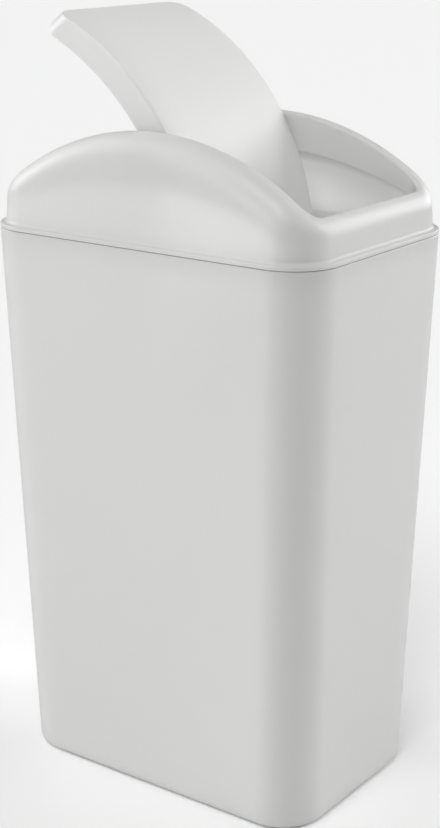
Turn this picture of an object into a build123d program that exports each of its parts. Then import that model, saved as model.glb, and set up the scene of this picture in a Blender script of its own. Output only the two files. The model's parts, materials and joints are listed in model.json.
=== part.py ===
from build123d import *
import os
from math import radians, tan

# Countertop trash can with a swing lid: a tapered bin, a domed lid frame and a flap.
# Millimetres, +Z up. The origin is the middle of the footprint, X runs along the long
# side and Y along the short side. The lid frame rests on the bin's rim, and the flap
# hangs on two pins in the lid frame, swung open with its raised end towards -X.

# ---------------------------------------------------------------- bin
rim_length, rim_width, rim_corner = 211.8, 145.0, 26.2
bin_height = 310.0
bin_draft = 1.645
bin_wall = 1.6
bin_floor = 2.0
base_edge_radius = 5.1
floor_edge_bevel = 2.2
rim_edge_bevel = 0.7
foot_inset = 9.0            # the ring that the bin stands on ends this far in
foot_height = 1.6           # rise of the floor inside that ring

# ---------------------------------------------------------------- lid frame
lid_wall = 1.8
side_step, end_step = 3.9, 3.2      # from the rim's edge to the walls, on top of the flange
end_draft = 3.0             # the end walls lean in as they rise
corner_radius = 22.8
arch_radius, arch_top = 151.8, 367.6
shoulder_radius = 11.8

spigot_depth = 8.0          # the spigot drops this far inside the bin
spigot_inset = 2.5          # from the rim's edge to the outside of the spigot

flange_height = 2.4
flange_top_bevel = 0.5
flange_bottom_bevel = 0.4
flange_hollow_bevel = 1.6   # fills the corner between the flange and the wall

mouth_length, mouth_width, mouth_corner = 188.6, 107.0, 8.0
mouth_edge_bevel = 1.3
skirt_arch_radius, skirt_arch_top = 221.0, 346.8
skirt_margin = 4.0          # the skirt's trim runs this far past its walls

# ---------------------------------------------------------------- flap
flap_length, flap_width, flap_corner = 183.8, 104.4, 9.0
flap_wall = 1.8
flap_radius, flap_top = 139.7, 367.3
flap_depth = 16.9           # height of the walls
flap_end_draft = 16.0       # the end walls lean in as they fall, to clear the mouth
flap_edge_bevel = 0.5
open_angle = 60.0

# ---------------------------------------------------------------- pivot
pivot_height = 356.2
pin_diameter = 6.0
pin_clearance = 0.06        # radial
pin_reach = 3.1             # from the skirt's face to the pin's tip
pin_bevel = 1.0
collar_diameter = 10.0
collar_gap = 0.4
boss_radius = 12.0
relief_reach = 48.0         # each side wall is eased from its boss to here
relief_depth = 1.1
relief_lip = 0.5
socket_diameter = 12.0
socket_depth = 1.8          # the socket's length behind the skirt

# ---------------------------------------------------------------- worked out
inner_floor = foot_height + bin_floor
base_loss = 2 * bin_height * tan(radians(bin_draft))
base_length, base_width = rim_length - base_loss, rim_width - base_loss

spigot_bottom = bin_height - spigot_depth
flange_top = bin_height + flange_height
spigot_inner_inset = spigot_inset + lid_wall
dome_length = rim_length - 2 * end_step
dome_width = rim_width - 2 * side_step

# This bevel inside the shoulder leaves the full wall at the middle of the bend.
inner_shoulder_bevel = (2 - 2**0.5) * (shoulder_radius - lid_wall)

flap_end_top = flap_top - flap_radius + (flap_radius**2 - (flap_length / 2) ** 2) ** 0.5
flap_low = flap_end_top - 1.5 * flap_depth   # a level below every wall of the closed flap

skirt_face = mouth_width / 2
flap_face = flap_width / 2
pivot_axis = Axis((0, 0, pivot_height), (0, 1, 0))

os.makedirs("parts", exist_ok=True)


def level_face(piece, height):
    """The flat, level face of a piece at a height."""
    return piece.faces().filter_by(Axis.Z).filter_by_position(Axis.Z, height - 0.01, height + 0.01)[0]


def top_face(piece):
    return piece.faces().sort_by(Axis.Z)[-1]


def pivot_plane(distance):
    """A plane across the pivot axis, facing +Y, at a distance from the middle."""
    return Plane((0, distance, pivot_height), x_dir=(-1, 0, 0), z_dir=(0, 1, 0))


# ================================================================ bin
def tapered_block(inset, bottom):
    """The bin's solid tapered form above a level, with every side drawn in by the inset."""
    with BuildPart() as form:
        with BuildSketch(Plane.XY.offset(bottom)):
            Rectangle(rim_length - 2 * inset, rim_width - 2 * inset)
        extrude(amount=bin_height - bottom)
        sides = form.faces().filter_by(Axis.Z, reverse=True)
        draft(sides, Plane.XY.offset(bin_height), -bin_draft)
        uprights = form.edges().filter_by(lambda edge: edge.bounding_box().size.Z > bin_height / 2)
        fillet(uprights, rim_corner - inset)
    return form.part


with BuildPart() as bin_inside:
    add(tapered_block(bin_wall, inner_floor))
    chamfer(level_face(bin_inside, inner_floor).edges(), floor_edge_bevel)

with BuildPart() as bin_body:
    add(tapered_block(0, 0))
    fillet(level_face(bin_body, 0).edges(), base_edge_radius)
    add(bin_inside.part, mode=Mode.SUBTRACT)
    with BuildSketch():
        RectangleRounded(base_length - 2 * foot_inset, base_width - 2 * foot_inset, rim_corner - foot_inset)
    extrude(amount=foot_height, mode=Mode.SUBTRACT)
    chamfer(level_face(bin_body, bin_height).outer_wire().edges(), rim_edge_bevel)

bin_body.part.label = "bin_body"
export_step(bin_body.part, "parts/bin_body.step")


# ================================================================ lid frame
def arched_block(inset):
    """The lid's solid form below its arched top, with every face drawn in by the inset."""
    with BuildPart() as form:
        with BuildSketch(Plane.XY.offset(bin_height)):
            Rectangle(dome_length - 2 * inset, dome_width - 2 * inset)
        extrude(amount=arch_top - bin_height)
        draft(form.faces().filter_by(Axis.X), Plane.XY.offset(flange_top), end_draft)
        uprights = form.edges().filter_by(lambda edge: edge.bounding_box().size.Z > flange_height)
        fillet(uprights, corner_radius - inset)
        with BuildSketch(Plane.XZ):
            with Locations((0, arch_top - arch_radius)):
                Circle(arch_radius - inset)
        extrude(amount=rim_width, both=True, mode=Mode.INTERSECT)
    return form.part


def mouth_block(inset):
    """The column that the mouth and its skirt leave empty, wider by the inset all round."""
    with BuildPart() as form:
        with BuildSketch(Plane.XY.offset(spigot_bottom)):
            RectangleRounded(mouth_length + 2 * inset, mouth_width + 2 * inset, mouth_corner + inset)
        extrude(amount=arch_top - spigot_bottom)
    return form.part


def rim_outline(inset):
    """The bin rim's outline, drawn in by the inset, for the sketch that calls it."""
    RectangleRounded(rim_length - 2 * inset, rim_width - 2 * inset, rim_corner - inset)


with BuildPart() as lid_hollow:
    add(arched_block(lid_wall))
    chamfer(top_face(lid_hollow).edges(), inner_shoulder_bevel)
    with BuildSketch(Plane.XY.offset(spigot_bottom)):
        rim_outline(spigot_inner_inset)
    extrude(amount=flange_top - lid_wall - spigot_bottom)
    add(mouth_block(lid_wall), mode=Mode.SUBTRACT)

with BuildPart() as skirt_trim:
    with BuildSketch(Plane.XY.offset(spigot_bottom)):
        Rectangle(mouth_length + 2 * skirt_margin, mouth_width + 2 * skirt_margin)
    extrude(amount=skirt_arch_top - spigot_bottom)
    with BuildSketch(Plane.XZ):
        with Locations((0, skirt_arch_top - skirt_arch_radius)):
            Circle(skirt_arch_radius)
    extrude(amount=rim_width, both=True, mode=Mode.INTERSECT)

with BuildPart() as lid_frame:
    add(arched_block(0))
    fillet(top_face(lid_frame).edges(), shoulder_radius)
    add(mouth_block(0), mode=Mode.SUBTRACT)
    chamfer(top_face(lid_frame).inner_wires()[0].edges(), mouth_edge_bevel)
    with BuildSketch(Plane.XY.offset(spigot_bottom)):
        rim_outline(spigot_inset)
        Rectangle(mouth_length, mouth_width, mode=Mode.SUBTRACT)
    extrude(amount=spigot_depth)
    with BuildSketch(Plane.XY.offset(bin_height)):
        rim_outline(0)
        Rectangle(mouth_length, mouth_width, mode=Mode.SUBTRACT)
    extrude(amount=flange_height)
    chamfer(level_face(lid_frame, flange_top).inner_wires()[0].edges(), flange_hollow_bevel)
    chamfer(level_face(lid_frame, flange_top).outer_wire().edges(), flange_top_bevel)
    chamfer(level_face(lid_frame, bin_height).outer_wire().edges(), flange_bottom_bevel)
    add(lid_hollow.part, mode=Mode.SUBTRACT)
    add(skirt_trim.part, mode=Mode.SUBTRACT)
    for side in (1, -1):
        with BuildSketch(pivot_plane(side * (skirt_face + lid_wall / 2))):
            Circle(socket_diameter / 2)
        extrude(amount=side * (socket_depth + lid_wall / 2))
        with BuildSketch(pivot_plane(side * flap_face)):
            Circle(pin_diameter / 2 + pin_clearance)
        extrude(amount=side * (skirt_face + lid_wall + 2 * socket_depth - flap_face), mode=Mode.SUBTRACT)

lid_frame.part.label = "lid_frame"
export_step(lid_frame.part, "parts/lid_frame.step")


# ================================================================ flap
def flap_block(inset):
    """The closed flap's solid form below its arched top, with every face drawn in by the inset."""
    with BuildPart() as form:
        with BuildSketch(Plane.XY.offset(flap_low)):
            Rectangle(flap_length - 2 * inset, flap_width - 2 * inset)
        extrude(amount=flap_top - flap_low)
        draft(form.faces().filter_by(Axis.X), Plane.XY.offset(flap_end_top), -flap_end_draft)
        uprights = form.edges().filter_by(lambda edge: edge.bounding_box().size.Z > flap_depth)
        fillet(uprights, flap_corner - inset)
        with BuildSketch(Plane.XZ):
            with Locations((0, flap_top - flap_radius)):
                Circle(flap_radius - inset)
        extrude(amount=flap_width, both=True, mode=Mode.INTERSECT)
    return form.part


with BuildPart() as side_relief:
    with BuildSketch(Plane.XY.offset(flap_low)):
        for side in (1, -1):
            with BuildLine():
                Polyline(
                    (-relief_reach, side * flap_face),
                    (relief_reach, side * flap_face),
                    (0, side * (flap_face - relief_depth)),
                    close=True,
                )
            make_face()
    extrude(amount=flap_top - flap_low)
    with BuildSketch(Plane.XZ):
        with Locations((0, flap_top - flap_radius)):
            Circle(flap_radius - relief_lip - flap_edge_bevel)
        with Locations((0, pivot_height)):
            Circle(boss_radius, mode=Mode.SUBTRACT)
    extrude(amount=flap_width, both=True, mode=Mode.INTERSECT)

with BuildPart() as closed_flap:
    add(flap_block(0))
    chamfer(top_face(closed_flap).edges(), flap_edge_bevel)
    add(flap_block(flap_wall), mode=Mode.SUBTRACT)
    with BuildSketch(Plane.XZ):
        with Locations((0, flap_top - flap_radius - flap_depth)):
            Circle(flap_radius)
    extrude(amount=flap_width, both=True, mode=Mode.SUBTRACT)
    add(side_relief.part, mode=Mode.SUBTRACT)
    for side in (1, -1):
        with BuildSketch(pivot_plane(side * (flap_face - flap_wall / 2))):
            Circle(collar_diameter / 2)
        extrude(amount=side * (flap_wall / 2 + skirt_face - collar_gap - flap_face))
        with BuildSketch(pivot_plane(side * (flap_face - flap_wall / 2))):
            Circle(pin_diameter / 2)
        extrude(amount=side * (flap_wall / 2 + skirt_face + pin_reach - flap_face))
    tips = closed_flap.faces().filter_by(Axis.Y).sort_by(Axis.Y)
    chamfer(tips[0].edges() + tips[-1].edges(), pin_bevel)

with BuildPart() as swing_flap:
    add(closed_flap.part.rotate(pivot_axis, open_angle))

swing_flap.part.label = "swing_flap"
export_step(swing_flap.part, "parts/swing_flap.step")
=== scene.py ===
# %% [markdown]
# # A countertop trash can with a swing lid
#
# The can is three white plastic mouldings. A deep tapered bin stands on the counter, a domed
# lid frame drops into its rim, and an arched flap hangs in the frame's mouth on two short pins.
# The frame that is loaded here says where each one is and how it moves. It stays as it is, and
# every surface below is fitted to it, in metres, with +Z up.

# %% Load the fixed frame
import json
from math import cos, pi, radians, sin, sqrt, tan

import bpy
import numpy as np
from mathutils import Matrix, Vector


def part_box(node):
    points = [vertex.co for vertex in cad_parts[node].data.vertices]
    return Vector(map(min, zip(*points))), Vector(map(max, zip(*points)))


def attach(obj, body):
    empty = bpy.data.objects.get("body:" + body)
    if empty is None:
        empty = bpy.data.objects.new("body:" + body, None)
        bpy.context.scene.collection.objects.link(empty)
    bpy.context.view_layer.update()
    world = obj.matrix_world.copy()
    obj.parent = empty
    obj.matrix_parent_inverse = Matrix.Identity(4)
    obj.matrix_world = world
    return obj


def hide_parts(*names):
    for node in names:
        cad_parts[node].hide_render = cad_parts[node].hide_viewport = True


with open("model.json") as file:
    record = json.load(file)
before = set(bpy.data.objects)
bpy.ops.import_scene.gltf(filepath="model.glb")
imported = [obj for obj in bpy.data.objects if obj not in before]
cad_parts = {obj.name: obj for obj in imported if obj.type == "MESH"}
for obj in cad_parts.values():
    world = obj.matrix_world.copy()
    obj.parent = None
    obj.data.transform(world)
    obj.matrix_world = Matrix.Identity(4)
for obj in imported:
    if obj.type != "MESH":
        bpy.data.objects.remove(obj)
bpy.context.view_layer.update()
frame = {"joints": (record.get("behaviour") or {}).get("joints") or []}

# %% [markdown]
# ## The driving sizes
#
# The boxes of the bin and the lid frame give the outside sizes, and the hinge gives the pins'
# height.
# The rest are the moulding's own sizes, such as wall thicknesses and corner radii.

# %% Sizes from the frame
_, bin_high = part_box("bin_body")
lid_low, lid_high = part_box("lid_frame")
bin_top = bin_high.z
rim_half_x, rim_half_y, arch_top = lid_high
spigot_bottom = lid_low.z
swing = next(joint for joint in frame["joints"] if joint["name"] == "flap_swing")
pivot_height = swing["pos_m"][2]
open_angle = radians(60)
print(f"bin top {bin_top:.4f}, arch top {arch_top:.4f}, pivot {pivot_height:.4f}")

# %% Sizes of the mouldings
rim_corner = 0.0262
bin_draft = radians(1.645)
bin_wall = 0.0016
base_edge = 0.0051
foot_inset, foot_height = 0.009, 0.0016
floor_level, floor_edge = 0.0036, 0.0035

lid_wall, lid_draft = 0.0018, radians(3)
step_width, flange_height, spigot_inset = 0.0032, 0.0024, 0.0025
arch_radius, shoulder_radius = 0.1518, 0.0114
mouth_half_x, mouth_half_y, mouth_corner, mouth_edge = 0.0943, 0.0535, 0.008, 0.0017
skirt_arch_radius, skirt_arch_top = 0.221, 0.3468

flap_half_x, flap_half_y, flap_corner = 0.0917, 0.0522, 0.0095
flap_wall, flap_edge = 0.0018, 0.0006
flap_radius, flap_top, flap_depth = 0.1397, 0.3673, 0.0165
flap_end_draft, tip_round = radians(10), 0.007

# %% [markdown]
# ## One way of sampling every outline
#
# Seen from above, every level of all three mouldings is a rounded rectangle. If each one is
# sampled alike, the samples of one level line up with those of the next, so a wall, a bend or a
# step is only rows of points, stacked and joined. A sample is three numbers (u, v, t). Its point
# on a rectangle with half sides a and b and corner radius r is
# (u (a - r) + r cos t, v (b - r) + r sin t), and its outward direction is (cos t, sin t).

# %% The ring of samples
def sample_ring(long_steps, short_steps, corner_steps):
    """Samples (u, v, t) once round anticlockwise, from half way round the corner at +X, -Y.

    Round a corner u and v stay at 1 or -1 while t turns a right angle. Along a side t stays,
    and u or v runs evenly from one end to the other.
    """
    turn = np.linspace(0, pi / 2, corner_steps + 1)
    u, v, t = [], [], []
    for number, (across, along) in enumerate(((1, -1), (1, 1), (-1, 1), (-1, -1))):
        u.append(np.full(turn.size, across))
        v.append(np.full(turn.size, along))
        t.append(turn + (number - 1) * pi / 2)
        short_side = number % 2 == 0
        steps = short_steps if short_side else long_steps
        run = (along if short_side else across) * np.linspace(1, -1, steps + 1)[1:-1]
        u.append(np.full(run.size, across) if short_side else run)
        v.append(run if short_side else np.full(run.size, along))
        t.append(np.full(run.size, number * pi / 2))
    samples = np.array([np.concatenate(part) for part in (u, v, t)])
    return np.roll(samples, -(corner_steps // 2), axis=1)


def outline(samples, half_x, half_y, radius):
    """Points (..., n, 2) of rounded rectangles. The sizes may be columns, for many levels."""
    u, v, t = samples
    x = u * (half_x - radius) + radius * np.cos(t)
    y = v * (half_y - radius) + radius * np.sin(t)
    return np.stack([x, y], axis=-1)


def outward(samples):
    """The level unit directions that point out of a rounded rectangle, (n, 3)."""
    t = samples[2]
    return np.stack([np.cos(t), np.sin(t), np.zeros(t.size)], axis=-1)


ring_steps = {"long_steps": 64, "short_steps": 24, "corner_steps": 24}
ring = sample_ring(**ring_steps)
ring_out = outward(ring)
print("ring of", ring.shape[1], "samples")

# %% [markdown]
# ## Rows of points
#
# Three small functions make all the rows. One carries a flat profile round an outline. One
# fills the way between two rows. One makes a rounded corner the way a machinist thinks of it,
# as the arc left by a ball that rolls along the corner and touches both faces, so the radius
# is true even where a level wall meets a curved roof.

# %% Rows: profiles, runs and rolled corners
def carried(samples, half_x, half_y, radius, profile):
    """Rows (k, n, 3): each profile point is (out, height), measured out from the outline."""
    out, height = np.asarray(profile, float).T[:, :, None]
    flat = outline(samples, half_x + out, half_y + out, radius + out)
    level = np.broadcast_to(height[..., None], flat.shape[:2] + (1,))
    return np.concatenate([flat, level], axis=-1)


def run(first, last, shares):
    """Rows at the given shares of the straight way from one row to another."""
    return first + np.asarray(shares, float)[:, None, None] * (last - first)


def rolled(middle, first, last, radius, steps):
    """Rows round a corner: middle + radius * a direction that turns evenly from first to last.

    The direction at share s is (sin((1 - s) a) first + sin(s a) last) / sin a, where a is the
    angle between the two.
    """
    angle = np.arccos(np.clip((first * last).sum(-1), -1, 1))
    share = np.linspace(0, 1, steps + 1)[:, None]
    start = (np.sin((1 - share) * angle) / np.sin(angle))[..., None]
    end = (np.sin(share * angle) / np.sin(angle))[..., None]
    return middle + radius * (start * first + end * last)


def turned(out, height, radius, start, end, steps):
    """Profile points (out, height) round a middle point, between two angles in degrees."""
    angle = np.radians(np.linspace(start, end, steps + 1))
    return np.stack([out + radius * np.cos(angle), height + radius * np.sin(angle)], axis=-1)


# %% [markdown]
# ## From rows to a closed mesh
#
# Neighbouring rows are joined by four-cornered faces. A lid frame is a closed loop of rows, like
# a tyre. A bin or a flap is a bag of rows with two ends, and each end is closed by a plate of
# square cells whose edge is matched to the ring, so no face is a thin sliver and nothing is
# left open. Rows run up the outside and down the inside, which turns every face outwards.

# %% Faces and meshes
def joined(index):
    """Faces between the rows of a table of vertex numbers, each row a closed ring."""
    ahead = np.roll(index, -1, axis=1)
    return np.stack([index[:-1], ahead[:-1], ahead[1:], index[1:]], axis=-1).reshape(-1, 4)


def plate(row, reach, steps):
    """A grid of points inside a row: its lines keep the row's spacing, drawn in to the reach.

    Gives the grid's (x, y) and the places in it of its edge, in the ring's order.
    """
    columns = steps["long_steps"] + steps["corner_steps"]
    lines = steps["short_steps"] + steps["corner_steps"]
    y = row[: lines + 1, 1] * reach[1] / row[lines, 1]
    x = row[lines : lines + columns + 1, 0][::-1] * reach[0] / row[lines, 0]
    number = np.arange((lines + 1) * (columns + 1)).reshape(lines + 1, columns + 1)
    edge = np.concatenate(
        [number[:-1, -1], number[-1, :0:-1], number[:0:-1, 0], number[0, :-1]]
    )
    return np.stack(np.meshgrid(x, y), axis=-1), number, edge


def build(name, points, faces, ends=(), painted_shade=None):
    """A smooth-shaded mesh object at the origin: four-cornered faces and a few flat end faces.

    Each point may carry a number from 0 to 1, kept as an attribute: the strength of painted
    shade there, for the shadow in a joint, under a lip or in a pocket. All carry a second
    attribute, sin(2 t)^2 for an outward direction t seen from above, so it is 1 on an upright
    corner and 0 on a flat side; it sets the painted shade on the corners.
    """
    corners = np.concatenate([faces.ravel(), *ends]).astype(np.int32)
    sizes = np.array([4] * len(faces) + [len(end) for end in ends])
    starts = (np.cumsum(sizes) - sizes).astype(np.int32)
    mesh = bpy.data.meshes.new(name)
    mesh.vertices.add(len(points))
    mesh.vertices.foreach_set("co", points.astype(np.float32).ravel())
    mesh.loops.add(corners.size)
    mesh.loops.foreach_set("vertex_index", corners)
    mesh.polygons.add(sizes.size)
    mesh.polygons.foreach_set("loop_start", starts)
    mesh.polygons.foreach_set("use_smooth", np.ones(sizes.size, bool))
    mesh.update(calc_edges=True)
    mesh.validate()
    # Painted shade: this number sets how strongly the dark colour is painted into joints, under the
    # lip and behind the skirt.
    if painted_shade is not None:
        mesh.attributes.new("painted_shade", "FLOAT", "POINT").data.foreach_set("value", painted_shade)
    facing = np.empty(3 * len(points), np.float32)
    mesh.vertices.foreach_get("normal", facing)
    facing = facing.reshape(-1, 3)
    # Painted shade: this mask darkens the light through the wall on upright corners.
    corner_shade = (2 * facing[:, 0] * facing[:, 1]) ** 2
    mesh.attributes.new("corner_shade", "FLOAT", "POINT").data.foreach_set("value", corner_shade)
    piece = bpy.data.objects.new(name, mesh)
    bpy.context.scene.collection.objects.link(piece)
    print(name, len(points), "points", len(faces), "faces")
    return piece


def tyre(name, rows, painted_shade=None):
    """A closed loop of rows."""
    points = rows.reshape(-1, 3)
    index = np.arange(len(points)).reshape(rows.shape[:2])
    faces = joined(np.concatenate([index, index[:1]]))
    return build(name, points, faces, painted_shade=painted_shade)


def on_rows(rows, depth):
    """A number for each point of some rows, from one for each row or for each point."""
    depth = np.asarray(depth, np.float32).reshape(len(rows), -1)
    return np.broadcast_to(depth, rows.shape[:2]).ravel()


def bag(name, rows, low_plate, high_plate, steps, painted_shade):
    """Rows closed at both ends by plates.

    Each plate is (reach, surface), where surface(x, y) is its height.
    """
    grids, tables, edges = [], [], []
    for row, (reach, surface) in ((rows[0], low_plate), (rows[-1], high_plate)):
        flat, number, edge = plate(row, reach, steps)
        height = surface(flat[..., 0], flat[..., 1])
        grids.append(np.concatenate([flat, height[..., None]], axis=-1).reshape(-1, 3))
        tables.append(number)
        edges.append(edge)
    points = np.concatenate([rows.reshape(-1, 3), *grids])
    index = np.arange(rows.shape[0] * rows.shape[1]).reshape(rows.shape[:2])
    low_start = index.size
    high_start = low_start + len(grids[0])
    index = np.concatenate([[edges[0] + low_start], index, [edges[1] + high_start]])
    cells = [
        np.stack([n[:-1, :-1], n[:-1, 1:], n[1:, 1:], n[1:, :-1]], axis=-1).reshape(-1, 4)
        for n in tables
    ]
    low_cells = cells[0][:, ::-1] + low_start
    faces = np.concatenate([joined(index), low_cells, cells[1] + high_start])
    clean = np.zeros(len(points) - painted_shade.size, np.float32)
    return build(name, points, faces, painted_shade=np.concatenate([painted_shade, clean]))


# %% [markdown]
# ## The bin
#
# A deep moulding needs draft to leave its mould, so the bin narrows towards the base while its
# corners keep their radius. The base has a soft edge and stands on a ring, with the middle
# raised a little so it can't rock. One profile of (out, height) points runs from the raised
# middle, round the foot, up the wall, over the rim and down the inside to the floor.

# %% The bin's profile and mesh
lean = tan(bin_draft)
base_half_x = rim_half_x - bin_top * lean
base_half_y = rim_half_y - bin_top * lean
foot_bend, rim_bend, rim_inner_bend = 0.0005, 0.0010, 0.0004


def wall_bend(wall_out, height, radius, start, end, steps):
    """A bend tangent to the leaning wall, as points (out, height) from the wall's own line."""
    bend = turned(0, height, radius, start, end, steps)
    middle = wall_out + height * lean
    return np.stack([bend[:, 0] + middle - bend[:, 1] * lean, bend[:, 1]], axis=-1)


recess = turned(-foot_inset - foot_bend, foot_height - foot_bend, foot_bend, 90, 0, 4)
foot = turned(-foot_inset + foot_bend, foot_bend, foot_bend, 180, 270, 4)
base = wall_bend(-base_edge / cos(bin_draft), base_edge, base_edge, -90, -1.645, 12)
rim_outside = turned(-rim_bend, bin_top - rim_bend, rim_bend, 0, 90, 6)
rim_inside = turned(
    rim_inner_bend - bin_wall, bin_top - rim_inner_bend, rim_inner_bend, 90, 180, 3
)
floor_middle = -bin_wall - floor_edge / cos(bin_draft)
floor_bend = wall_bend(floor_middle, floor_level + floor_edge, floor_edge, -1.645, -90, 8)
plate_gap, wall_gap, wall_rows = 0.0006, 0.001, 12
wall_levels = np.linspace(base_edge + wall_gap, bin_top - rim_bend - wall_gap, wall_rows)
outer_wall = np.stack([np.zeros(wall_rows), wall_levels], axis=-1)
inner_low = floor_level + floor_edge + wall_gap
inner_levels = np.linspace(bin_top - rim_bend - wall_gap, inner_low, wall_rows)
inner_wall = np.stack([np.full(wall_rows, -bin_wall), inner_levels], axis=-1)
bin_profile = np.concatenate([
    [[-foot_inset - foot_bend - plate_gap, foot_height]],
    recess,
    foot,
    [[-foot_inset + foot_bend + plate_gap, 0], [-base_edge - plate_gap, 0]],
    base,
    outer_wall,
    rim_outside,
    rim_inside,
    inner_wall,
    floor_bend,
    [[-bin_wall - floor_edge - plate_gap, floor_level]],
])
out, height = bin_profile.T[:, :, None]
grown = out + height * lean
bin_flat = outline(ring, base_half_x + grown, base_half_y + grown, rim_corner + out)
bin_rows = np.concatenate(
    [bin_flat, np.broadcast_to(height[..., None], bin_flat.shape[:2] + (1,))], axis=-1
)
# Painted shade: the top of the rim's outer bend, under the lid's flange, is painted dark for the
# shadow in the seam.
seam_shade_reach, seam_shade_fade = 0.0003, 0.0002
rim_seam_shade = np.clip((bin_profile[:, 1] - bin_top + seam_shade_reach) / seam_shade_fade, 0, 1)
bin_painted_shade = on_rows(bin_rows, rim_seam_shade * (bin_profile[:, 0] > -rim_bend - 0.0001))
raised_margin, floor_margin = 0.022, 0.019
raised_reach = (base_half_x - raised_margin, base_half_y - raised_margin)
floor_reach = (base_half_x - floor_margin, base_half_y - floor_margin)
bin_moulding = bag(
    "bin_moulding",
    bin_rows,
    (raised_reach, lambda x, y: np.full(x.shape, foot_height)),
    (floor_reach, lambda x, y: np.full(x.shape, floor_level)),
    ring_steps,
    bin_painted_shade,
)

# %% [markdown]
# ## The lid frame
#
# The frame's wall drops inside the bin and a flange rests on the rim. Above the flange the wall
# rises to a roof bent in one long arch, with a soft shoulder all round. In the roof the mouth's
# edge rolls inwards to a short skirt, whose lower edge is another, flatter arch. Rolled corners
# make the shoulder and the mouth's edge, and the same corners with a smaller radius make the
# inside, so the wall keeps its thickness. The rows close on themselves like a tyre. The parting
# line under the flange and the pocket behind the skirt carry a number for painted shade: a dark
# line for the shadow in the seam, and a darkening for the shade that falls behind the skirt.

# %% Where the lid's corners run
dome_half_x, dome_half_y = rim_half_x - step_width, rim_half_y - step_width
dome_corner = rim_corner - step_width
flange_top = bin_top + flange_height
arch_middle = arch_top - arch_radius
skirt_middle = skirt_arch_top - skirt_arch_radius


def on_arch(flat, radius, middle):
    """Lifts (x, y) points on to a cylinder along Y: its height is middle + sqrt(radius^2 - x^2)."""
    height = middle + np.sqrt(radius**2 - flat[..., 0] ** 2)
    return np.concatenate([flat, height[..., None]], axis=-1)


def arch_up(points, middle):
    """The unit directions straight out of that cylinder, at points on or near it."""
    away = points - np.array([0, 0, middle])
    away[..., 1] = 0
    return away / np.linalg.norm(away, axis=-1, keepdims=True)


def leaning_line(inset, radius, middle):
    """Where the lid's leaning wall, drawn in by the inset, meets the cylinder.

    The wall's outline is smaller by (height - flange_top) tan(draft), and the height depends on
    the outline, so the two are worked out in turn until they settle.
    """
    inset = inset / cos(lid_draft)
    height = np.full(ring.shape[1], flange_top)
    for _ in range(8):
        lean_in = inset + (height - flange_top) * tan(lid_draft)
        flat = outline(ring, dome_half_x - lean_in, dome_half_y - lean_in, dome_corner - inset)
        line = on_arch(flat, radius, middle)
        height = line[:, 2]
    return line


wall_out = ring_out * cos(lid_draft) + np.array([0, 0, sin(lid_draft)])
shoulder_line = leaning_line(shoulder_radius, arch_radius - shoulder_radius, arch_middle)
shoulder_up = arch_up(shoulder_line, arch_middle)
mouth_out = outline(
    ring, mouth_half_x + mouth_edge, mouth_half_y + mouth_edge, mouth_corner + mouth_edge
)
mouth_line = on_arch(mouth_out, arch_radius - mouth_edge, arch_middle)
mouth_up = arch_up(mouth_line, arch_middle)
print(f"shoulder runs from {shoulder_line[:, 2].min():.4f} to {shoulder_line[:, 2].max():.4f}")

# %% The lid's rows, outside first
spigot_bend, flange_bend, flange_round, step_hollow = 0.0004, 0.0004, 0.0006, 0.0018
skirt_bend, flange_gap, inner_drop = 0.0005, 0.0003, 0.0010
spigot_out = step_width - spigot_inset
hollow_middle = step_hollow / cos(lid_draft) - step_hollow * tan(lid_draft)

lower_outside = np.concatenate([
    turned(spigot_out - spigot_bend, spigot_bottom + spigot_bend, spigot_bend, -90, 0, 3),
    [[spigot_out, bin_top], [spigot_out + flange_gap, bin_top]],
    turned(step_width - flange_bend, bin_top + flange_bend, flange_bend, -90, 0, 5),
    turned(step_width - flange_round, flange_top - flange_round, flange_round, 0, 90, 6),
    turned(hollow_middle, flange_top + step_hollow, step_hollow, -90, -177, 9),
])
lower_rows = carried(ring, dome_half_x, dome_half_y, dome_corner, lower_outside)
shoulder_rows = rolled(shoulder_line, wall_out, shoulder_up, shoulder_radius, 18)
edge_rows = rolled(mouth_line, mouth_up, -ring_out, mouth_edge, 12)
roof_flat = run(shoulder_rows[-1, :, :2], edge_rows[0, :, :2], (0.06, 0.35, 0.65, 0.94))
roof_rows = on_arch(roof_flat, arch_radius, arch_middle)
support = (0.04, 0.2, 0.4, 0.6, 0.8, 0.96)

skirt_out = outline(
    ring, mouth_half_x + skirt_bend, mouth_half_y + skirt_bend, mouth_corner + skirt_bend
)
skirt_line = on_arch(skirt_out, skirt_arch_radius + skirt_bend, skirt_middle)
hidden_in = lid_wall - skirt_bend
hidden_out = outline(
    ring, mouth_half_x + hidden_in, mouth_half_y + hidden_in, mouth_corner + hidden_in
)
hidden_line = on_arch(hidden_out, skirt_arch_radius + skirt_bend, skirt_middle)
skirt_down = -arch_up(skirt_line, skirt_middle)
skirt_edge = rolled(skirt_line, -ring_out, skirt_down, skirt_bend, 4)
hidden_edge = rolled(hidden_line, -arch_up(hidden_line, skirt_middle), ring_out, skirt_bend, 4)

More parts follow.
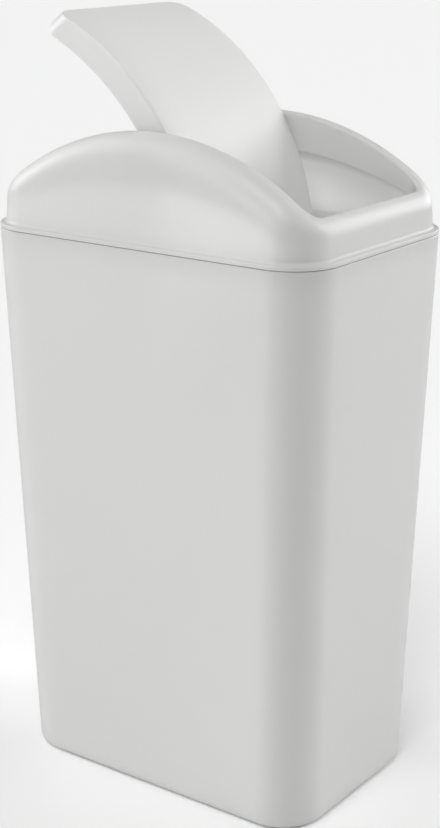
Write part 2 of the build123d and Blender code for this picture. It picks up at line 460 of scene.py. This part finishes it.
# %% The lid's inside rows and its mesh
inner_edge = rolled(mouth_line, -ring_out, mouth_up, mouth_edge - lid_wall, 6)
inner_shoulder = rolled(shoulder_line, shoulder_up, wall_out, shoulder_radius - lid_wall, 10)
ceiling_flat = run(inner_edge[-1, :, :2], inner_shoulder[0, :, :2], (0.33, 0.67))
ceiling_rows = on_arch(ceiling_flat, arch_radius - lid_wall, arch_middle)
spigot_in = spigot_out - lid_wall
lower_inside = np.concatenate([
    [[-lid_wall, flange_top - inner_drop], [spigot_in, flange_top - lid_wall]],
    turned(spigot_in + spigot_bend, spigot_bottom + spigot_bend, spigot_bend, 180, 270, 3),
])
spigot_inside = carried(ring, dome_half_x, dome_half_y, dome_corner, lower_inside)
inner_wall_rows = run(inner_shoulder[-1], spigot_inside[0], np.linspace(0.02, 0.98, 30))
upper_rows = np.concatenate([
    run(lower_rows[-1], shoulder_rows[0], support),
    shoulder_rows,
    roof_rows,
    edge_rows,
    run(edge_rows[-1], skirt_edge[0], support),
    skirt_edge,
    hidden_edge,
    run(hidden_edge[-1], inner_edge[0], (0.2, 0.5, 0.8)),
    inner_edge,
    ceiling_rows,
    inner_shoulder,
])
lid_rows = np.concatenate([lower_rows, upper_rows, inner_wall_rows, spigot_inside])
# Painted shade: the flange's underside, just above the rim, is painted dark for the shadow in the
# seam.
flange_seam_shade = np.clip((bin_top + seam_shade_reach - lower_outside[:, 1]) / seam_shade_fade, 0, 1)
seam_shade_start, widest_square = 0.001, 0.01
flange_seam_shade = flange_seam_shade * (lower_outside[:, 0] > spigot_out + seam_shade_start)
# Painted shade: the inner wall just below the skirt's lower edge is painted darker, fading
# downwards, for the shade that falls in the pocket behind the skirt.
behind = np.concatenate([inner_wall_rows, spigot_inside])
square = np.minimum(behind[..., 0] ** 2, widest_square)
skirt_foot = skirt_middle + np.sqrt(skirt_arch_radius**2 - square)
pocket_shade_strength, pocket_shade_drop, pocket_shade_fade = 0.32, 0.0075, 0.004
pocket_shade = pocket_shade_strength * np.clip((behind[..., 2] - skirt_foot + pocket_shade_drop) / pocket_shade_fade, 0, 1)
lid_painted_shade = np.concatenate([
    on_rows(lower_rows, flange_seam_shade),
    on_rows(upper_rows, np.zeros(len(upper_rows))),
    on_rows(behind, pocket_shade),
])
lid_moulding = tyre("lid_moulding", lid_rows, lid_painted_shade)

# %% [markdown]
# ## The swing flap
#
# The flap is a shallow tray turned upside down and bent to the roof's arch. It is worked out
# closed and level, then turned about its pins to the angle it rests at. Its long side walls are
# eased inwards beside the pins, except for a round boss that carries each pin, so only the
# bosses and a fine lip along the top come near the skirt. The easing falls to nothing some way
# along the wall, and it is added to the rows as a distance that depends on x. Each end wall
# leans in, and its lower edge turns into the long arch below with a rounded tip.

# %% The flap's rows
flap_ring_steps = {"long_steps": 90, "short_steps": 40, "corner_steps": 16}
flap_ring = sample_ring(**flap_ring_steps)
flap_out = outward(flap_ring)
flap_out[:, 2] = -np.abs(flap_out[:, 0]) * sin(flap_end_draft)
flap_out[:, 0] *= cos(flap_end_draft)
flap_middle = flap_top - flap_radius
low_middle = flap_middle - flap_depth
flap_end_top = flap_middle + sqrt(flap_radius**2 - flap_half_x**2)
relief_reach, relief_depth, lip = 0.048, 0.0011, 0.0010
lower_bend, hollow_bend, lip_step = 0.0003, 0.0008, 0.0001


def flap_line(inset, radius, middle):
    """Where the closed flap's walls, drawn in by the inset, meet a cylinder.

    The end walls stand at half_x - (flap_end_top - height) tan(draft), and the height depends
    on where they stand, so the two are worked out in turn until they settle.
    """
    height = np.full(flap_ring.shape[1], flap_end_top)
    for _ in range(16):
        half_x = flap_half_x - inset / cos(flap_end_draft)
        half_x = half_x - (flap_end_top - height) * tan(flap_end_draft)
        flat = outline(flap_ring, half_x, flap_half_y - inset, flap_corner - inset)
        line = on_arch(flat, radius, middle)
        height = line[:, 2]
    return line


tip_x = flap_half_x - tip_round
for _ in range(12):
    tip_z = low_middle + sqrt((flap_radius + tip_round) ** 2 - tip_x**2)
    tip_x = flap_half_x - (flap_end_top - tip_z) * tan(flap_end_draft)
    tip_x = tip_x - tip_round / cos(flap_end_draft)
foot_half_x = tip_x + tip_round * cos(flap_end_draft)
print(f"each tip's arc has its middle at {tip_x:.4f}, {tip_z:.4f}")


def foot_line(inset):
    """The walls' lower edge, drawn in by the inset.

    Its height is low_middle + sqrt(flap_radius^2 - x^2), and from where that arch touches the
    tip's arc it is tip_z - sqrt(tip_round^2 - (x - tip_x)^2). Both walls of a place share it.
    """
    x = np.abs(outline(flap_ring, foot_half_x, flap_half_y, flap_corner)[:, 0])
    low_arch = low_middle + np.sqrt(flap_radius**2 - x**2)
    tip_arc = tip_z - np.sqrt(np.maximum(tip_round**2 - (x - tip_x) ** 2, 0))
    height = np.where(x * (flap_radius + tip_round) < tip_x * flap_radius, low_arch, tip_arc)
    half_x = foot_half_x - inset / cos(flap_end_draft)
    flat = outline(flap_ring, half_x, flap_half_y - inset, flap_corner - inset)
    return np.concatenate([flat, height[:, None]], axis=-1)


def eased(line):
    """Points of the side walls drawn in beside the pins."""
    share = np.clip(1 - np.abs(line[..., :1]) / relief_reach, 0, 1)
    return line - relief_depth * share * flap_out


edge_line = flap_line(flap_edge, flap_radius - flap_edge, flap_middle)
top_edge = rolled(edge_line, flap_out, arch_up(edge_line, flap_middle), flap_edge, 5)
hollow_line = flap_line(
    flap_wall + hollow_bend, flap_radius - flap_wall - hollow_bend, flap_middle
)
hollow_edge = rolled(hollow_line, arch_up(hollow_line, flap_middle), flap_out, hollow_bend, 5)

lip_top = flap_line(0, flap_radius - lip, flap_middle)
lip_under = eased(lip_top) - np.array([0, 0, lip_step])
wall_foot = eased(foot_line(0)) + np.array([0, 0, lower_bend])
foot_inner = foot_line(flap_wall) + np.array([0, 0, lower_bend])
under_rows = run(foot_inner, wall_foot, (0.15, 0.85)) - np.array([0, 0, lower_bend])

# %% The flap's mesh, turned open
plate_margin, under_margin, top_margin = 0.004, 0.009, 0.007
underside_start = flap_line(flap_wall + plate_margin, flap_radius - flap_wall, flap_middle)
roof_end = flap_line(plate_margin, flap_radius, flap_middle)
underside_flat = run(underside_start[:, :2], hollow_edge[0, :, :2], (0, 0.5, 0.9))
roof_in_flat = run(top_edge[-1, :, :2], roof_end[:, :2], (0.1, 0.5, 1))
below_lip = np.concatenate([
    on_arch(underside_flat, flap_radius - flap_wall, flap_middle),
    hollow_edge,
    run(hollow_edge[-1], foot_inner, (0.05, 0.5, 0.95, 1)),
    under_rows,
    run(wall_foot, lip_under, (0, 0.05, 0.35, 0.65, 0.94, 0.975, 1)),
])
flap_rows = np.concatenate([
    below_lip,
    [lip_top],
    run(lip_top, top_edge[0], (0.3, 0.7)),
    top_edge,
    on_arch(roof_in_flat, flap_radius, flap_middle),
])
# Painted shadow: the eased side wall just under the lip is painted dark beside the pins, for the
# shadow under the lip.
lip_shadow_share = np.clip(1 - np.abs(lip_top[:, 0]) / relief_reach, 0, 1)
flap_painted_shade = np.zeros(flap_rows.shape[:2])
lip_shadow = 0.6
flap_painted_shade[len(below_lip) - 2 : len(below_lip)] = lip_shadow * lip_shadow_share
under_reach = (flap_half_x - under_margin, flap_half_y - under_margin)
top_reach = (flap_half_x - top_margin, flap_half_y - top_margin)
flap_moulding = bag(
    "flap_moulding",
    flap_rows,
    (under_reach, lambda x, y: flap_middle + np.sqrt((flap_radius - flap_wall) ** 2 - x**2)),
    (top_reach, lambda x, y: flap_middle + np.sqrt(flap_radius**2 - x**2)),
    flap_ring_steps,
    on_rows(flap_rows, flap_painted_shade),
)


def turn_open(piece):
    """Turns a closed piece's points about the pins, its -X end upwards, to the resting angle."""
    mesh = piece.data
    points = np.empty(len(mesh.vertices) * 3, np.float32)
    mesh.vertices.foreach_get("co", points)
    x, y, z = points.reshape(-1, 3).T.astype(float)
    z = z - pivot_height
    turned_x = x * cos(open_angle) + z * sin(open_angle)
    turned_z = z * cos(open_angle) - x * sin(open_angle) + pivot_height
    moved = np.stack([turned_x, y, turned_z], axis=-1).astype(np.float32)
    mesh.vertices.foreach_set("co", moved.ravel())
    mesh.update()


turn_open(flap_moulding)

# %% [markdown]
# ## Bosses, pins and sockets
#
# Each side wall carries a round boss, a collar that keeps the flap off the skirt, and a pin that
# reaches through the skirt into a socket behind it. Each is a profile of (radius, distance) points
# turned round the pins' axis. The boss would stand out past the wall's upper and lower edges,
# so its rings are held back to the wall there: a ring's radius is the smaller of its own and
# the distance to the edge in that direction.

# %% Turned pieces
around = np.linspace(0, 2 * pi, 96, endpoint=False)
skirt_face = mouth_half_y
collar_face = skirt_face - 0.0004
pin_tip = skirt_face + 0.0031
boss_radius, collar_radius, pin_radius, pin_bevel = 0.012, 0.005, 0.003, 0.001
boss_back, boss_bend, collar_bend = flap_half_y - 0.0014, 0.0003, 0.0003


def edge_distance(angle, radius, middle, inside):
    """How far a ray from the pin's axis runs before it meets a circle in the XZ plane."""
    drop = pivot_height - middle
    half = drop * np.sin(angle)
    square = half**2 - drop**2 + radius**2
    root = np.sqrt(np.maximum(square, 0))
    reach = -half + root if inside else -half - root
    return np.where((square > 0) & (reach > 0), reach, np.inf)


room_gap = 0.0001
room_above = edge_distance(around, flap_radius - flap_edge - room_gap, flap_middle, True)
room_below = edge_distance(around, flap_radius + room_gap, low_middle, False)
room = np.minimum(room_above, room_below)


def turned_rows(profile, side, limit):
    """Rings of (radius, distance) points round the pins' axis, on one side of the flap."""
    radius, distance = np.asarray(profile, float).T[:, :, None]
    radius = np.minimum(radius, np.broadcast_to(limit, around.shape))
    distance = np.broadcast_to(side * distance, radius.shape)
    x, z = radius * np.cos(around), radius * np.sin(around) + pivot_height
    rows = np.stack([x, distance, z], axis=-1)
    return rows[:, ::-1] if side > 0 else rows


def plug(name, rows):
    """Rows closed at both ends by a flat face."""
    index = np.arange(rows.shape[0] * rows.shape[1]).reshape(rows.shape[:2])
    return build(name, rows.reshape(-1, 3), joined(index), (index[0, ::-1], index[-1]))


boss_step, collar_step, pin_step, tip_step = 0.001, 0.0005, 0.0002, 0.0003
boss_profile = np.concatenate([
    [[boss_radius - boss_step, boss_back], [boss_radius, boss_back]],
    turned(boss_radius - boss_bend, flap_half_y - boss_bend, boss_bend, 0, 90, 4),
    [[collar_radius + collar_step, flap_half_y], [collar_radius, flap_half_y]],
    turned(collar_radius - collar_bend, collar_face - collar_bend, collar_bend, 0, 90, 3),
    [[pin_radius + pin_step, collar_face], [pin_radius, collar_face]],
    [[pin_radius, pin_tip - pin_bevel]],
    [[pin_radius - pin_bevel, pin_tip], [pin_radius - pin_bevel - tip_step, pin_tip]],
])
socket_radius, socket_back, bore = 0.006, skirt_face + lid_wall + 0.0018, pin_radius + 0.00006
socket_start, socket_bevel = skirt_face + 0.001, 0.0003
socket_profile = np.array([
    [bore, socket_start], [socket_radius, socket_start],
    [socket_radius, socket_back - socket_bevel], [socket_radius - socket_bevel, socket_back],
    [bore + socket_bevel, socket_back], [bore, socket_back - socket_bevel],
])
pins, sockets = [], []
for side, place in ((-1, "near"), (1, "far")):
    pin = plug(f"flap_pin_{place}", turned_rows(boss_profile, side, room))
    turn_open(pin)
    pins.append(pin)
    sockets.append(tyre(f"lid_socket_{place}", turned_rows(socket_profile, side, np.inf)))

# %% [markdown]
# ## Shared effects for the plastic
#
# The three mouldings are the same white polypropylene. Four effects are built once as node
# groups. The first is the fine grain that a spark-eroded mould leaves. The second is the slow
# drift in tone and gloss where the melt cooled at different rates. The third is the light
# polish and dust of use. The fourth reads the two numbers stored with each mesh and gives
# painted shade: for the shadows in the joints, under the flap's lip and behind the skirt, and
# for darker light through the upright corners. Each gives out only heights and masks, and each
# material sets its own strengths.

# %% Node group helpers
def new_group(name, inputs, outputs):
    """A shader node group. The inputs are (name, kind, value) and the outputs (name, kind)."""
    group = bpy.data.node_groups.new(name, "ShaderNodeTree")
    for label, kind, value in inputs:
        socket = group.interface.new_socket(label, in_out="INPUT", socket_type=kind)
        if value is not None:
            socket.default_value = value
    for label, kind in outputs:
        group.interface.new_socket(label, in_out="OUTPUT", socket_type=kind)
    return group, group.nodes.new("NodeGroupInput"), group.nodes.new("NodeGroupOutput")


def add_node(tree, kind, **settings):
    """A node with its properties set."""
    node = tree.nodes.new(kind)
    for name, value in settings.items():
        setattr(node, name, value)
    return node


def math_node(tree, operation, first, second, clamp=False):
    """A Math node fed by sockets or plain numbers."""
    node = add_node(tree, "ShaderNodeMath", operation=operation, use_clamp=clamp)
    for socket, value in zip(node.inputs, (first, second)):
        if isinstance(value, (int, float)):
            socket.default_value = value
        else:
            tree.links.new(value, socket)
    return node.outputs[0]


# %% The mould's grain
grain_group, grain_in, grain_out = new_group(
    "mould_grain",
    [("Vector", "NodeSocketVector", None), ("Grains per metre", "NodeSocketFloat", 2600.0)],
    [("Height", "NodeSocketFloat")],
)
fine = add_node(grain_group, "ShaderNodeTexNoise", noise_dimensions="3D")
fine.inputs["Detail"].default_value = 2.0
fine.inputs["Roughness"].default_value = 0.6
grain_group.links.new(grain_in.outputs["Vector"], fine.inputs["Vector"])
grain_group.links.new(grain_in.outputs["Grains per metre"], fine.inputs["Scale"])
grain_group.links.new(fine.outputs["Fac"], grain_out.inputs["Height"])

# %% The slow drift of tone and gloss
drift_group, drift_in, drift_out = new_group(
    "melt_drift",
    [("Vector", "NodeSocketVector", None), ("Size", "NodeSocketFloat", 9.0)],
    [("Tone", "NodeSocketFloat"), ("Gloss", "NodeSocketFloat")],
)
stretch = add_node(drift_group, "ShaderNodeMapping")
stretch.inputs["Scale"].default_value = (1.0, 1.0, 0.35)
drift_group.links.new(drift_in.outputs["Vector"], stretch.inputs["Vector"])
for output, offset in (("Tone", 0.0), ("Gloss", 3.7)):
    slow = add_node(drift_group, "ShaderNodeTexNoise", noise_dimensions="4D")
    slow.inputs["W"].default_value = offset
    slow.inputs["Detail"].default_value = 1.5
    drift_group.links.new(stretch.outputs["Vector"], slow.inputs["Vector"])
    drift_group.links.new(drift_in.outputs["Size"], slow.inputs["Scale"])
    drift_group.links.new(slow.outputs["Fac"], drift_out.inputs[output])

# %% Handling: polished edges and a trace of dust
use_group, use_in, use_out = new_group(
    "light_use",
    [("Vector", "NodeSocketVector", None), ("Specks per metre", "NodeSocketFloat", 420.0)],
    [("Polish", "NodeSocketFloat"), ("Dust and shade", "NodeSocketFloat")],
)
shape = add_node(use_group, "ShaderNodeNewGeometry")
edges = add_node(use_group, "ShaderNodeMapRange")
edges.inputs["From Min"].default_value = 0.51
edges.inputs["From Max"].default_value = 0.60
use_group.links.new(shape.outputs["Pointiness"], edges.inputs["Value"])
use_group.links.new(edges.outputs["Result"], use_out.inputs["Polish"])
specks = add_node(use_group, "ShaderNodeTexNoise", noise_dimensions="3D")
specks.inputs["Detail"].default_value = 4.0
use_group.links.new(use_in.outputs["Vector"], specks.inputs["Vector"])
use_group.links.new(use_in.outputs["Specks per metre"], specks.inputs["Scale"])
facing = add_node(use_group, "ShaderNodeSeparateXYZ")
use_group.links.new(shape.outputs["Normal"], facing.inputs[0])
settled = math_node(use_group, "MULTIPLY", facing.outputs["Z"], specks.outputs["Fac"], clamp=True)
use_group.links.new(settled, use_out.inputs["Dust and shade"])

# %% Painted shade that follows the shape: dark joints and darker corners
# Both outputs are painted shade: the first for the shadows in joints, under the lip and behind the
# skirt, the second for darker light through the upright corners.
shade_group, shade_in, shade_out = new_group(
    "painted_joint_and_corner_shade",
    [("Joint shade", "NodeSocketFloat", 0.9), ("Corner shade strength", "NodeSocketFloat", 1.0)],
    [("Dust and shade", "NodeSocketFloat"), ("Thickness", "NodeSocketFloat")],
)
for attribute, strength, mark in (("painted_shade", "Joint shade", "Dust and shade"), ("corner_shade", "Corner shade strength", "Thickness")):
    stored = add_node(shade_group, "ShaderNodeAttribute", attribute_name=attribute)
    value = math_node(shade_group, "MULTIPLY", stored.outputs["Fac"], shade_in.outputs[strength])
    shade_group.links.new(value, shade_out.inputs[mark])

# %% [markdown]
# ## The white plastic
#
# Satin polypropylene is near white and has a soft, broad shine under a thin gloss. The base
# colour carries the drift, a trace of dust and the painted shade of the joints, the lip and the
# pocket behind the skirt, and the grain goes to a Bump node. The roughness falls and the gloss
# rises on polished edges. The walls are thin enough to let light through, so each surface is
# mixed with a translucent one of the same colour, whose colour is darkened on the upright
# corners: painted shade.

# %% The material maker
def placed(material, group, **values):
    """A group placed in a material, with some of its inputs set."""
    node = add_node(material.node_tree, "ShaderNodeGroup", node_tree=group)
    for label, value in values.items():
        node.inputs[label.replace("_", " ")].default_value = value
    return node


# The second colour is painted shade for the shadows in joints, under the flap's lip and behind the
# skirt, and the corner share darkens the light through upright corners as painted shade.
dust_colour, painted_shade_colour = (0.62, 0.60, 0.57, 1), (0.17, 0.155, 0.145, 1)
cloud_share, corner_shade_share = 0.975, 0.66
gloss_drift, polish_drop, coat_plain, coat_polish = 0.08, 0.16, 0.35, 0.65


def white_plastic(name, colour, dusty, roughness, grain_depth, through_share):
    """A satin white moulded plastic, with the share of its light that passes through the wall."""
    material = bpy.data.materials.new(name)
    material.use_nodes = True
    tree = material.node_tree
    shader = tree.nodes["Principled BSDF"]
    shader.inputs["IOR"].default_value = 1.49
    shader.inputs["Coat Roughness"].default_value = 0.22
    here = add_node(tree, "ShaderNodeTexCoord")
    grain = placed(material, grain_group)
    drift = placed(material, drift_group)
    use = placed(material, use_group)
    for node in (grain, drift, use):
        tree.links.new(here.outputs["Object"], node.inputs["Vector"])

    cloudy = add_node(tree, "ShaderNodeMix", data_type="RGBA")
    cloudy.inputs["A"].default_value = (*colour, 1)
    cloudy.inputs["B"].default_value = (*[cloud_share * part for part in colour], 1)
    tree.links.new(drift.outputs["Tone"], cloudy.inputs["Factor"])
    dusted = add_node(tree, "ShaderNodeMix", data_type="RGBA")
    dusted.inputs["B"].default_value = dust_colour
    tree.links.new(cloudy.outputs["Result"], dusted.inputs["A"])
    tree.links.new(math_node(tree, "MULTIPLY", use.outputs["Dust and shade"], dusty), dusted.inputs["Factor"])
    # Painted shade: the colour is mixed towards a dark colour in the joints, under the lip and
    # behind the skirt.
    shade_marks = placed(material, shade_group)
    joint_shaded = add_node(tree, "ShaderNodeMix", data_type="RGBA")
    joint_shaded.inputs["B"].default_value = painted_shade_colour
    tree.links.new(dusted.outputs["Result"], joint_shaded.inputs["A"])
    tree.links.new(shade_marks.outputs["Dust and shade"], joint_shaded.inputs["Factor"])
    tree.links.new(joint_shaded.outputs["Result"], shader.inputs["Base Color"])

    glossy = math_node(tree, "MULTIPLY", drift.outputs["Gloss"], gloss_drift)
    worn = math_node(tree, "MULTIPLY", use.outputs["Polish"], polish_drop)
    soft = math_node(tree, "SUBTRACT", math_node(tree, "ADD", glossy, roughness), worn)
    tree.links.new(soft, shader.inputs["Roughness"])
    polished = math_node(tree, "MULTIPLY", use.outputs["Polish"], coat_polish)
    coat = math_node(tree, "ADD", polished, coat_plain)
    tree.links.new(coat, shader.inputs["Coat Weight"])

    bump = add_node(tree, "ShaderNodeBump")
    bump.inputs["Strength"].default_value = 0.35
    bump.inputs["Distance"].default_value = grain_depth
    tree.links.new(grain.outputs["Height"], bump.inputs["Height"])
    tree.links.new(bump.outputs["Normal"], shader.inputs["Normal"])

    through = add_node(tree, "ShaderNodeBsdfTranslucent")
    # Painted shade: the translucent colour is darker on the upright corners.
    corner_shaded = add_node(tree, "ShaderNodeMix", data_type="RGBA", blend_type="MULTIPLY")
    corner_shaded.inputs["B"].default_value = (corner_shade_share, corner_shade_share, corner_shade_share, 1)
    tree.links.new(shade_marks.outputs["Thickness"], corner_shaded.inputs["Factor"])
    tree.links.new(joint_shaded.outputs["Result"], corner_shaded.inputs["A"])
    tree.links.new(corner_shaded.outputs["Result"], through.inputs["Color"])
    blend = add_node(tree, "ShaderNodeMixShader")
    blend.inputs["Fac"].default_value = through_share
    tree.links.new(shader.outputs[0], blend.inputs[1])
    tree.links.new(through.outputs[0], blend.inputs[2])
    tree.links.new(blend.outputs[0], tree.nodes["Material Output"].inputs["Surface"])
    return material


# %% The three mouldings' materials
bin_white = white_plastic("bin_white", (0.938, 0.937, 0.934), 0.02, 0.40, 0.00005, 0.42)
lid_white = white_plastic("lid_white", (0.955, 0.954, 0.951), 0.03, 0.38, 0.00004, 0.45)
flap_white = white_plastic("flap_white", (0.950, 0.949, 0.946), 0.03, 0.40, 0.00004, 0.42)

# %% [markdown]
# ## What moves with what
#
# The bin stands still, the frame rides on the lid body and the flap rides on its own body, and
# each new piece stands for the node whose shape it follows.

# %% Ride, replace and dress
def dress(piece, body, material):
    """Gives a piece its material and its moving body."""
    piece.data.materials.append(material)
    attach(piece, body)


dress(bin_moulding, "bin", bin_white)
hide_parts("bin_body")
dress(lid_moulding, "lid", lid_white)
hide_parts("lid_frame")
dress(flap_moulding, "flap", flap_white)
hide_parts("swing_flap")
for pin, socket in zip(pins, sockets):
    dress(pin, "flap", flap_white)
    dress(socket, "lid", lid_white)

# %% [markdown]
# ## The studio
#
# The can stands on a plain pale floor in a white room, as for a catalogue. Seven large soft
# lights stand round and above it. The strongest are low behind it and to its left, and one is
# high in front. The room itself lights the can only faintly, but the camera sees it nearly white.

# %% Floor
floor_mesh = bpy.data.meshes.new("studio_floor")
floor_half = 30.0
floor_mesh.from_pydata(
    [(-floor_half, -floor_half, 0), (floor_half, -floor_half, 0),
     (floor_half, floor_half, 0), (-floor_half, floor_half, 0)], [], [(0, 1, 2, 3)],
)
floor = bpy.data.objects.new("studio_floor", floor_mesh)
bpy.context.scene.collection.objects.link(floor)
pale = bpy.data.materials.new("pale_floor")
pale.use_nodes = True
pale.node_tree.nodes["Principled BSDF"].inputs["Base Color"].default_value = (0.96, 0.96, 0.96, 1)
pale.node_tree.nodes["Principled BSDF"].inputs["Roughness"].default_value = 0.9
floor_mesh.materials.append(pale)

# %% Lights
def softbox(name, bearing, height, width, strength):
    """A far, soft light. The bearing is in degrees from -Y towards +X, the height above level."""
    lamp = bpy.data.lights.new(name, "SUN")
    lamp.angle = radians(width)
    lamp.energy = strength
    light = bpy.data.objects.new(name, lamp)
    bpy.context.scene.collection.objects.link(light)
    light.rotation_euler = (radians(90 - height), 0, radians(bearing))
    return light


softbox("back_softbox", 166, 8, 36, 1.806)
softbox("left_softbox", 286, 8, 36, 1.574)
softbox("front_high_softbox", 16, 55, 36, 1.403)
softbox("right_high_softbox", 136, 30, 24, 0.806)
softbox("left_high_softbox", 286, 30, 36, 0.539)
softbox("back_left_softbox", 256, 8, 36, 0.263)
softbox("top_softbox", 0, 80, 40, 0.281)
world = bpy.data.worlds.new("white_room")
bpy.context.scene.world = world
world.use_nodes = True
sky = world.node_tree
to_camera = add_node(sky, "ShaderNodeLightPath").outputs["Is Camera Ray"]
room_light, room_extra = 0.1, 0.87
seen = math_node(sky, "ADD", math_node(sky, "MULTIPLY", to_camera, room_extra), room_light)
sky.nodes["Background"].inputs["Color"].default_value = (1, 1, 1, 1)
sky.links.new(seen, sky.nodes["Background"].inputs["Strength"])
bpy.context.scene.view_settings.view_transform = "Standard"

# %% Camera
camera_data = bpy.data.cameras.new("camera")
camera_data.sensor_width = 36
camera_data.lens = 72.62
camera = bpy.data.objects.new("camera", camera_data)
bpy.context.scene.collection.objects.link(camera)
camera.location = (0.52421, -0.71827, 0.48286)
camera.rotation_euler = (radians(90 - 17.367), 0, radians(36.037))
bpy.context.scene.camera = camera
